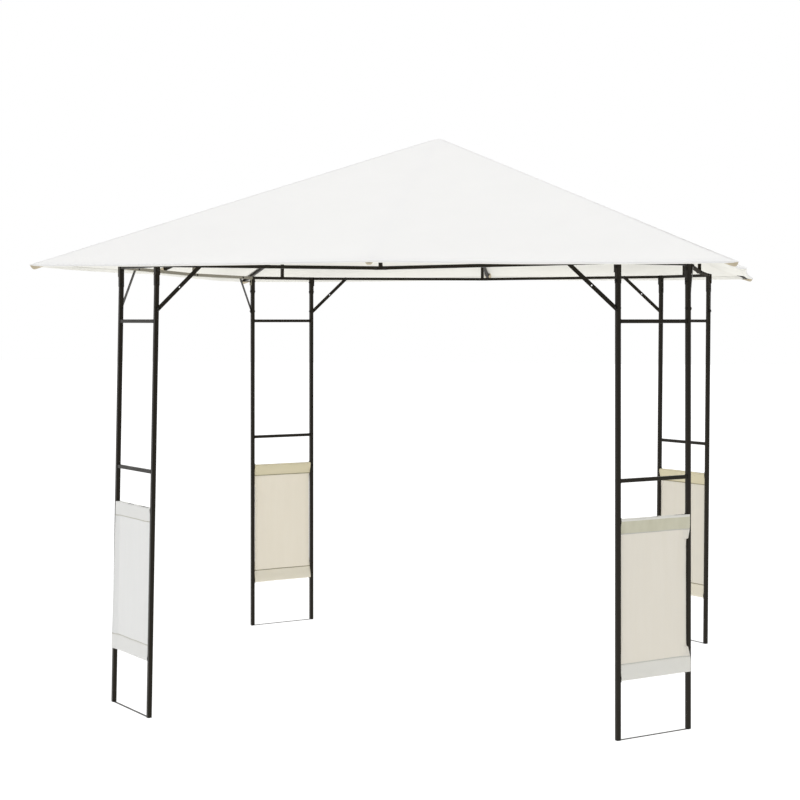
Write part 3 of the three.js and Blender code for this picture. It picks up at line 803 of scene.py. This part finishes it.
# ---- Seams and stitching of the cover ------------------------------------------------------------
# Each hip is a felled seam: a narrow band of doubled cloth held by two rows of stitches. One row of
# stitches runs round the hem. The thread is the colour of the cloth and only its shadow shows.
SEAM_WIDTH = 0.014
SEAM_LIFT = 0.0002
SEAM_THICKNESS = 0.0004
STITCH_LENGTH = 0.0050     # real stitches are about 3 mm, drawn longer so that they show
STITCH_PITCH = 0.0075
STITCH_WIDTH = 0.0005
HEM_DEPTH = 0.026
HIP_START = 0.03
HIP_RUN = HALF_COVER - HIP_START
HIP_END = 0.002
THREAD_FLECKS = 300.0      # flecks to the metre, coarser than the real thread's so that they show
CORNER_SIGNS = ((-1, -1), (1, -1), (1, 1), (-1, 1))


def sewing_thread(name, light, dark):
    """Twisted polyester thread between two close tones, with a slight silky sheen."""
    material, output = new_material(name)
    place = add_node(material, "ShaderNodeTexCoord")
    lay = add_node(material, "ShaderNodeTexNoise", {
        "Vector": place.outputs["Object"], "Scale": THREAD_FLECKS, "Detail": 1.0})
    tone = add_node(material, "ShaderNodeMix", {
        "Factor": lay.outputs["Fac"], "A": linear(dark), "B": linear(light)}, data_type="RGBA")
    skin = add_node(material, "ShaderNodeBsdfPrincipled", {
        "Base Color": tone.outputs["Result"], "Roughness": 0.7})
    material.node_tree.links.new(skin.outputs["BSDF"], output.inputs["Surface"])
    return material


white_thread = sewing_thread("white_sewing_thread", "#f6f6f4", "#eeeeeb")


def add_stitches(piece, route, length, out):
    """Adds a row of stitches along route, a function of a share from 0 to 1, lying on the side that
    out points to."""
    row = bmesh.new()
    count = int(length / STITCH_PITCH)
    for index in range(count):
        share = (index + 0.5) / count
        start, end = route(share - 0.3 / count), route(share + 0.3 / count)
        along = (end - start).normalized()
        across = along.cross(out).normalized()
        turn = Matrix((along, across, along.cross(across))).transposed().to_4x4()
        size = Matrix.Diagonal((STITCH_LENGTH, STITCH_WIDTH, STITCH_WIDTH * 0.3, 1))
        bmesh.ops.create_cube(row, size=1, matrix=Matrix.Translation((start + end) / 2) @ turn @ size)
    add_part(piece, row)


def hip_point(signs, distance, side_step):
    """A point on the cover beside a hip: side_step across it, measured in plan."""
    x, y = distance * signs[0], distance * signs[1]
    shift = side_step / math.sqrt(2)
    x, y = x + signs[1] * shift, y - signs[0] * shift
    pull = outward(x, y) * edge_pull(x, y)
    return Vector((x, y, cover_height(x, y) + SEAM_LIFT)) - pull


def hem_point(degrees, x, depth):
    """A point on the cover at that depth in from its edge."""
    y = -(HALF_COVER - depth)
    pull = edge_pull(x, y)
    return turned(degrees) @ Vector((x, y + pull, cover_height(x, y) + SEAM_LIFT / 2))


seams, stitches = bmesh.new(), bmesh.new()
hip_length = HALF_COVER * math.hypot(math.sqrt(2), MID_SLOPES["front"])
for signs in CORNER_SIGNS:
    band = bmesh.new()
    bmesh.ops.create_grid(band, x_segments=120, y_segments=2, size=1)
    for vert in band.verts:
        distance = HIP_START + (vert.co.x + 1) / 2 * (HIP_RUN - HIP_END)
        vert.co = hip_point(signs, distance, vert.co.y * SEAM_WIDTH / 2)
    add_part(seams, band)
    for step in (-SEAM_WIDTH / 3, SEAM_WIDTH / 3):
        add_stitches(stitches, lambda share: hip_point(signs, HIP_START + share * HIP_RUN, step)
                     + UP * SEAM_THICKNESS, hip_length, UP)
for degrees in SIDES.values():
    reach = HALF_COVER - HEM_DEPTH
    add_stitches(stitches, lambda share: hem_point(degrees, (2 * share - 1) * reach, HEM_DEPTH),
                 2 * reach, UP)
add_cloth_map(seams, on_cover)
for face in seams.faces:
    if face.normal.z < 0:
        face.normal_flip()
seam_bands = made_object("cover_hip_seams", seams, Matrix(), cover_cloth, CLOTH_SHARP_ANGLE)
thicken(seam_bands, SEAM_THICKNESS, 1)
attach(seam_bands, "root")
cover_stitches = made_object("cover_stitching", stitches, Matrix(), white_thread)
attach(cover_stitches, "root")

# ---- Rafter pockets of the cover -----------------------------------------------------------------
# Under each corner, and under the middle of each edge, a patch of cloth is sewn to the hem and left
# open towards the middle. The rafter's end sits in it and pushes it down. Its beige is painted shade,
# for a doubled patch hanging in shade under the cover. The patch in the middle of the right edge takes
# the cover's own finish, without that painted shade.
POCKET_REACH = 0.050
POCKET_DEPTH = 0.0245
POCKET_START = 0.002
POCKET_FILL = 0.024        # how far in from the tip the rafter has pushed it down all the way
POCKET_SPREAD = 0.96
POCKET_GAP = 0.002
EDGE_POCKET_REACH = 0.060
EDGE_POCKET_HALF = 0.019
EDGE_POCKET_DEPTH = 0.0207
EDGE_POCKET_START = 0.004
EDGE_POCKET_FILL = 0.014
EDGE_POCKET_GAP = 0.001
# Painted shade: the pockets are the cover's cloth, darkened to beige for the shade under the cover.
shaded_pocket_finish = woven_cloth("painted_shade_pocket_patch", "#cabfa7", "#b9ac93", "#cabb98", 0.10)
pockets = bmesh.new()
for signs in CORNER_SIGNS:
    patch = bmesh.new()
    bmesh.ops.create_grid(patch, x_segments=16, y_segments=16, size=1)
    for vert in patch.verts:
        reach = (vert.co.x + 1) / 2 * POCKET_REACH + POCKET_START
        across = vert.co.y
        base = hip_point(signs, HALF_COVER - reach / math.sqrt(2), across * reach * POCKET_SPREAD)
        filled = min(1.0, reach / POCKET_FILL)
        bulge = math.sin(filled * math.pi / 2) * (1 - across ** 2) * (1 - 0.25 * (reach / POCKET_REACH) ** 4)
        vert.co = base - UP * (COVER_THICKNESS + SEAM_LIFT + POCKET_GAP + POCKET_DEPTH * bulge)
    add_part(pockets, patch)
for degrees in SIDES.values():
    patch = bmesh.new()
    bmesh.ops.create_grid(patch, x_segments=16, y_segments=12, size=1)
    for face in patch.faces:
        face.material_index = int(degrees == SIDES["right"])
    for vert in patch.verts:
        depth = EDGE_POCKET_START + (vert.co.x + 1) / 2 * EDGE_POCKET_REACH
        bulge = math.sin(min(1.0, depth / EDGE_POCKET_FILL) * math.pi / 2) * (1 - abs(vert.co.y) ** 4)
        base = hem_point(degrees, vert.co.y * EDGE_POCKET_HALF, depth)
        vert.co = base - UP * (COVER_THICKNESS + SEAM_LIFT + EDGE_POCKET_GAP + EDGE_POCKET_DEPTH * bulge)
    add_part(pockets, patch)
add_cloth_map(pockets, on_cover)
for face in pockets.faces:
    if face.normal.z > 0:
        face.normal_flip()
pocket_set = made_object("cover_pockets", pockets, Matrix(), shaded_pocket_finish, CLOTH_SHARP_ANGLE)
pocket_set.data.materials.append(underside_painted_warm)
thicken(pocket_set, COVER_THICKNESS, -1)
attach(pocket_set, "root")

# ---- Leg cloths ----------------------------------------------------------------------------------
# A strip of the same kind of polyester in cream is stretched on each leg. Each end is folded back
# round its rod and sewn down to make a sleeve, and the long edges are turned in by a narrow hem.
CLOTH_HALF = 0.1810
CLOTH_SLEEVE = 0.0205
CLOTH_SLEEVE_DEPTH = 0.066
CLOTH_CROWN = 0.0085
CLOTH_THICKNESS = 0.0009
CLOTH_LAP = 0.0016
CLOTH_HEM = 0.009
CLOTH_COLUMNS = 48
CLOTH_ROWS = 176
CLOTH_RIPPLE = 0.0030
CLOTH_FLAT = (0.380, 0.815)
# How far each long edge lies past the upright's inner face: at the top sleeve, below it, above the
# bottom sleeve and at the bottom sleeve. Two edges lie over the front of their upright.
TUCKED_IN = (-0.0012, -0.0058, -0.0058, -0.0012)
CLOTH_EDGES = {("front_left", -1): (0.003, 0.003, 0.019, 0.021),
               ("front_right", 1): (0.010, -0.004, -0.004, 0.014)}
CLOTH_STREAKS = (7, 0.5, 1)
# The webs are one cloth, told apart by painted light: cool on the front left leg, which faces the light, and
# warm on the back left leg, for the warm light that comes through it. The front right and back right legs
# have the plain cream.
cream_web = woven_cloth("cream_polyester", "#f1efea", "#e9e6de", "#f6eed8", 0.28, CLOTH_STREAKS)
cool_lit_web = woven_cloth("polyester_painted_light_cool", "#f5f6f7", "#eeefef", "#f0eee8", 0.28, CLOTH_STREAKS)
warm_lit_web = woven_cloth("polyester_painted_light_warm", "#f9f6ef", "#f2eee4", "#f8f0dc", 0.32, CLOTH_STREAKS)
# Doubled cloth over the rods lets less light through, so the sleeves are painted darker, as painted
# shade. Each sleeve's tone is painted light too: cool on the front left leg, which faces the light,
# olive painted shade on the front right leg's upper sleeve and plain on its lower one, ivory or warm
# on the back legs for the warm light that comes through them. The fold beside each seam is darker,
# with painted shade.
plain_sleeve = woven_cloth("doubled_polyester", "#ebeae4", "#e2e1d9", "#dcd6c4", 0.10)
olive_shaded_sleeve = woven_cloth("doubled_polyester_painted_shade_olive", "#dedcc9", "#bcb9a1", "#c8c2a4", 0.08, (3, 1, 1))
ivory_lit_sleeve = woven_cloth("doubled_polyester_painted_light_ivory", "#ece3c6", "#e2d9b8", "#dcc896", 0.12)
warm_lit_sleeve = woven_cloth("doubled_polyester_painted_light_warm", "#faf5e6", "#f1ead6", "#e8dcb8", 0.14)
cool_lit_sleeve = woven_cloth("doubled_polyester_painted_light_cool", "#eeeeec", "#e5e5e2", "#dedcd4", 0.10)
# Painted shade in the fold beside each seam: grey on the front legs, dark on the back legs.
grey_fold_shade = woven_cloth("polyester_painted_fold_shade_grey", "#d2d1cb", "#bdbbb0", "#c4c0b0", 0.08, (9, 1, 1))
dark_fold_shade = woven_cloth("polyester_painted_fold_shade_dark", "#b4ac90", "#958d70", "#a89c78", 0.08, (9, 1, 1))
CLOTH_FINISHES = {"front_left": (cool_lit_web, cool_lit_sleeve, cool_lit_sleeve, grey_fold_shade),
                  "front_right": (cream_web, olive_shaded_sleeve, plain_sleeve, grey_fold_shade),
                  "back_right": (cream_web, ivory_lit_sleeve, warm_lit_sleeve, dark_fold_shade),
                  "back_left": (warm_lit_web, ivory_lit_sleeve, warm_lit_sleeve, dark_fold_shade)}
# The olive on the front right leg's upper sleeve is painted shade. Its top, where light falls, keeps the
# plain colour.
SLEEVE_CREST = 0.013       # the top of the olive sleeve, which has the plain shade
SEAM_FOLD = 0.0046
FREE_FROM = 0.045          # how far from the cloth's top or bottom the web starts to take its own width
FREE_OVER = 0.09
TUCK_OFFSET = 0.012        # the deepest tucks lie this far past a seam
TUCK_SPREAD = 0.03
LAP_START = 0.030          # how far short of the upright a cloth that laps it starts to rise
LAP_RISE = 0.026
SEED_STEP = 3.7            # gives each leg's cloth its own creases
cream_thread = sewing_thread("cream_sewing_thread", "#c9c4b2", "#b4ae9a")

top_edge = ROD_HEIGHTS[0] + CLOTH_CROWN
low_edge = ROD_HEIGHTS[1] - CLOTH_CROWN


def sleeve_half(height):
    """Half the thickness of a sleeve at that height below its fold: round over the rod, then closing
    to the seam."""
    if height < CLOTH_CROWN:
        return CLOTH_SLEEVE / 2 * math.sqrt(max(0.0, 1 - (1 - height / CLOTH_CROWN) ** 2))
    share = min(1.0, (height - CLOTH_CROWN) / (CLOTH_SLEEVE_DEPTH - CLOTH_CROWN))
    return CLOTH_THICKNESS + (CLOTH_SLEEVE / 2 - CLOTH_THICKNESS) * (math.cos(share * math.pi) + 1) / 2


def cloth_point(share):
    """The height and the offset out of the leg's plane of the cloth at a share of its length: up the
    back of the upper sleeve, down the front, and up the back of the lower sleeve."""
    span = top_edge - low_edge
    whole = span + 2 * CLOTH_SLEEVE_DEPTH
    run = share * whole
    if run < CLOTH_SLEEVE_DEPTH:
        below = CLOTH_SLEEVE_DEPTH - run
        return top_edge - below, sleeve_half(below)
    if run > whole - CLOTH_SLEEVE_DEPTH:
        above = run - (whole - CLOTH_SLEEVE_DEPTH)
        return low_edge + above, sleeve_half(above)
    down = run - CLOTH_SLEEVE_DEPTH
    nearest = min(down, span - down)
    return top_edge - down, -sleeve_half(nearest) if nearest < CLOTH_SLEEVE_DEPTH else -CLOTH_THICKNESS


def eased(value, start, width):
    """Rises smoothly from 0 at start to 1 at that width past it."""
    share = min(1.0, max(0.0, (value - start) / width))
    return share * share * (3 - 2 * share)


def cloth_place(across, share, corner):
    """A point of a leg's cloth: across from -1 to 1 and share from 0 to 1, with its slack and creases."""
    height, offset = cloth_point(share)
    seed = SEED_STEP * list(CORNERS).index(corner)
    nearest = min(top_edge - height, height - low_edge)
    free = eased(nearest, FREE_FROM, FREE_OVER)
    top, web_top, web_low, low = CLOTH_EDGES.get((corner, math.copysign(1, across)), TUCKED_IN)
    up_share = (height - low_edge) / (top_edge - low_edge)
    web = web_low + (web_top - web_low) * up_share
    past = (top if up_share > 0.5 else low) * (1 - free) + web * free
    x = across * (inner_face + past)
    crease = noise.noise(Vector((x * 9 + seed, height * 2.2, seed)))
    crease += 0.5 * noise.noise(Vector((x * 24 + height * 6, height * 5, seed + 5)))
    tucks = math.exp(-((nearest - CLOTH_SLEEVE_DEPTH - TUCK_OFFSET) / TUCK_SPREAD) ** 2)
    crease_y = CLOTH_RIPPLE * crease * (0.35 + tucks) * (0.35 if nearest < CLOTH_SLEEVE_DEPTH else 1)
    wave = 0.0012 * noise.noise(Vector((x * 12, seed, share * 3)))
    hem = -0.0007 if abs(across) > 1 - CLOTH_HEM / CLOTH_HALF and nearest > CLOTH_SLEEVE_DEPTH else 0
    y = offset + crease_y + hem
    if past > 0:
        clear = math.copysign(max(abs(offset), UPRIGHT_TUBE / 2 + CLOTH_LAP), offset)
        y += (clear - y) * eased(abs(x), inner_face - LAP_START, LAP_RISE)
    y -= SPLAYS[corner] * (1 - height / SOCKET_MOUTH)
    return Vector((x, y - CORNER_RADIUS, height + wave))


for corner, degrees in CORNERS.items():
    cloth = bmesh.new()
    layer = cloth.loops.layers.uv.new("cloth")
    bmesh.ops.create_grid(cloth, x_segments=CLOTH_COLUMNS, y_segments=CLOTH_ROWS, size=1)
    for face in cloth.faces:
        for loop in face.loops:
            across, down = loop.vert.co.x, loop.vert.co.y
            loop[layer].uv = (across * CLOTH_FLAT[0] / 2, down * CLOTH_FLAT[1] / 2)
    for vert in cloth.verts:
        vert.co = cloth_place(vert.co.x, (vert.co.y + 1) / 2, corner)
    for face in cloth.faces:
        below, above = top_edge - face.calc_center_median().z, face.calc_center_median().z - low_edge
        # Slots 1 and 2 carry each sleeve's painted light and shade, and slot 3 the painted shade in the fold
        # beside each seam.
        if below < CLOTH_SLEEVE_DEPTH - SEAM_FOLD:
            face.material_index = 2 if below < SLEEVE_CREST and corner == "front_right" else 1
        elif above < CLOTH_SLEEVE_DEPTH:
            face.material_index = 2
        elif below < CLOTH_SLEEVE_DEPTH or above < CLOTH_SLEEVE_DEPTH + SEAM_FOLD:
            face.material_index = 3
    web_finish, *other_finishes = CLOTH_FINISHES[corner]
    leg_cloth = made_object(f"leg_cloth_{corner}", cloth, turned(degrees), web_finish, CLOTH_SHARP_ANGLE)
    for finish in other_finishes:
        leg_cloth.data.materials.append(finish)
    thicken(leg_cloth, CLOTH_THICKNESS, 0)
    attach(leg_cloth, "root")
    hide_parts(f"leg_panel_{corner}")
    rows = bmesh.new()
    out = Vector((0, -1, 0))
    total = top_edge - low_edge + 2 * CLOTH_SLEEVE_DEPTH
    for seam in (2 * CLOTH_SLEEVE_DEPTH - 0.002, total - 2 * CLOTH_SLEEVE_DEPTH + 0.002):
        add_stitches(rows, lambda share: cloth_place(1.96 * share - 0.98, seam / total, corner)
                     + out * CLOTH_THICKNESS, 2 * CLOTH_HALF, out)
    for hand in (-1, 1):
        across = hand * (1 - CLOTH_HEM / CLOTH_HALF)
        first, last = 2 * CLOTH_SLEEVE_DEPTH / total, 1 - 2 * CLOTH_SLEEVE_DEPTH / total
        add_stitches(rows, lambda share: cloth_place(across, first + share * (last - first), corner)
                     + out * CLOTH_THICKNESS, top_edge - low_edge - 2 * CLOTH_SLEEVE_DEPTH, out)
    sewing = made_object(f"leg_cloth_stitching_{corner}", rows, turned(degrees), cream_thread)
    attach(sewing, "root")

# ---- Floor, light and camera ---------------------------------------------------------------------
# A plain white studio. The floor glows like a light table, so that nothing throws a hard shadow. The
# ceiling is the brightest, then the right part of the back wall. The front and right walls are dimmest.
FLOOR_SIZE = 60
FLOOR_GLOW = 0.90
CEILING_LIGHT = 1.42
BACK_WALL_LIGHT = 0.80
BACK_RIGHT_LIGHT = 1.20
LEFT_WALL_LIGHT = 0.85
ROOM_LIGHT = 0.45
FLOOR_GAP = 0.0005         # keeps the floor just clear of the feet
floor_mesh = bmesh.new()
bmesh.ops.create_grid(floor_mesh, x_segments=1, y_segments=1, size=FLOOR_SIZE)
white_floor, output = new_material("white_studio_floor")
skin = add_node(white_floor, "ShaderNodeBsdfPrincipled", {
    "Base Color": (0.25, 0.25, 0.25, 1), "Roughness": 0.9, "Specular IOR Level": 0.0,
    "Emission Color": (1, 1, 1, 1), "Emission Strength": FLOOR_GLOW})
white_floor.node_tree.links.new(skin.outputs["BSDF"], output.inputs["Surface"])
floor = made_object("studio_floor", floor_mesh, Matrix.Translation((0, 0, -FLOOR_GAP)), white_floor)

scene = bpy.context.scene
scene.view_settings.view_transform = "Standard"
world = bpy.data.worlds.new("white_studio")
scene.world = world
world.use_nodes = True
place = add_node(world, "ShaderNodeTexCoord")
way = add_node(world, "ShaderNodeSeparateXYZ", {"Vector": place.outputs["Object"]})


def add_wall(before, axis, start, end, light):
    """The room's light with one wall or the ceiling added, from start to end along an axis."""
    share = add_node(world, "ShaderNodeMapRange", {
        "Value": way.outputs[axis], "From Min": start, "From Max": end})
    return add_node(world, "ShaderNodeMix", {
        "Factor": share.outputs["Result"], "A": before, "B": light}).outputs["Result"]


light = add_wall(ROOM_LIGHT, "X", -0.45, -0.70, LEFT_WALL_LIGHT)
back = add_wall(BACK_WALL_LIGHT, "X", 0.12, 0.24, BACK_RIGHT_LIGHT)
light = add_wall(light, "Y", 0.60, 0.80, back)
light = add_wall(light, "Z", 0.50, 0.62, CEILING_LIGHT)
# The camera itself sees plain white behind, whatever light a wall gives.
ray = add_node(world, "ShaderNodeLightPath")
seen = add_node(world, "ShaderNodeMix", {"Factor": ray.outputs["Is Camera Ray"], "A": light, "B": 1.0})
world.node_tree.links.new(seen.outputs["Result"], world.node_tree.nodes["Background"].inputs["Strength"])
world.node_tree.nodes["Background"].inputs["Color"].default_value = (1, 1, 1, 1)

camera = bpy.data.cameras.new("camera")
camera.lens = 78.70
camera.shift_y = -0.10036
camera_object = bpy.data.objects.new("camera", camera)
camera_object.location = (1.6813, -8.5139, 1.7355)
camera_object.rotation_euler = (math.radians(90), 0, math.radians(12.442))
scene.collection.objects.link(camera_object)
scene.camera = camera_object
